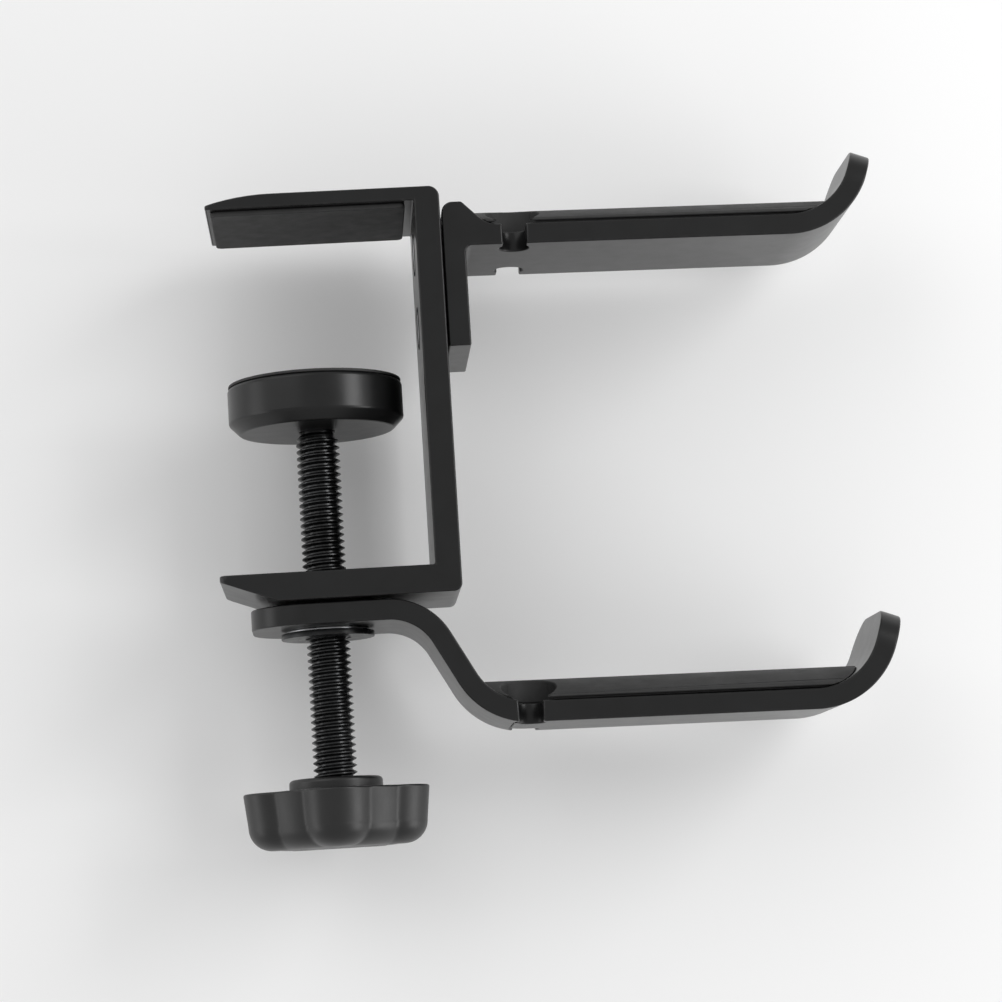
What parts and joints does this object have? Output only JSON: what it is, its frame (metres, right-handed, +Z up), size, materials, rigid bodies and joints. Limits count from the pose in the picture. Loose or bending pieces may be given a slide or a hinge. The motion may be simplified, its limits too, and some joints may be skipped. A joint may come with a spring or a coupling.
{
  "type": "headphone hook",
  "caption": "Desk-clamp headphone hanger: C-clamp with screw and pressure disc, a fixed upper hook and a swivelling lower hook with rubber saddles.",
  "frame": {"origin": "on the clamp screw's axis, in the plane where the upper jaw's rubber pad rests on the desk top", "axes": "+Z up along the screw, +X from the clamp towards the hooks' tips, +Y from the front edge to the back"},
  "size_m": [0.1243, 0.0334, 0.123],
  "materials": {
    "black_coat": "satin black powder coat on aluminium",
    "rubber": "matt black silicone rubber",
    "zinc_steel": "zinc-plated steel",
    "black_steel": "black-oxide steel, slightly oily",
    "nylon": "black nylon",
    "knob_black": "satin black moulded plastic"
  },
  "bodies": {
    "clamp": {"clamp_frame": "black_coat", "jaw_pad": "rubber", "upper_hook": "black_coat", "upper_hook_pad": "rubber", "upper_bracket_screw": "zinc_steel", "lower_bracket_screw": "zinc_steel", "swivel_bushing": "black_steel", "friction_washer": "nylon", "spring_washer": "zinc_steel"},
    "swivel_hook": {"swivel_arm": "black_coat", "swivel_arm_pad": "rubber"},
    "pressure_foot": {"pressure_disc": "black_coat", "pressure_disc_pad": "rubber"},
    "screw_and_knob": {"clamp_screw": "black_steel", "knob": "knob_black", "knob_collar": "knob_black", "knob_insert": "zinc_steel", "knob_cap": "knob_black"}
  },
  "joints": [
    {"name": "arm_swivel", "type": "hinge", "parent": "clamp", "child": "swivel_hook", "pos_m": [0, 0, -0.0735], "axis": [0, 0, -1], "continuous": true},
    {"name": "screw_travel", "type": "slide", "parent": "clamp", "child": "pressure_foot", "axis": [0, 0, 1], "range_m": [-0.0267, 0.0245]},
    {"name": "screw_spin", "type": "hinge", "parent": "pressure_foot", "child": "screw_and_knob", "pos_m": [0, 0, -0.0348], "axis": [0, 0, 1], "range_deg": [-7689.6, 7056]}
  ],
  "couplings": [
    {"joint": "screw_spin", "follows": "screw_travel", "rad_per_m": 5026.5}
  ]
}
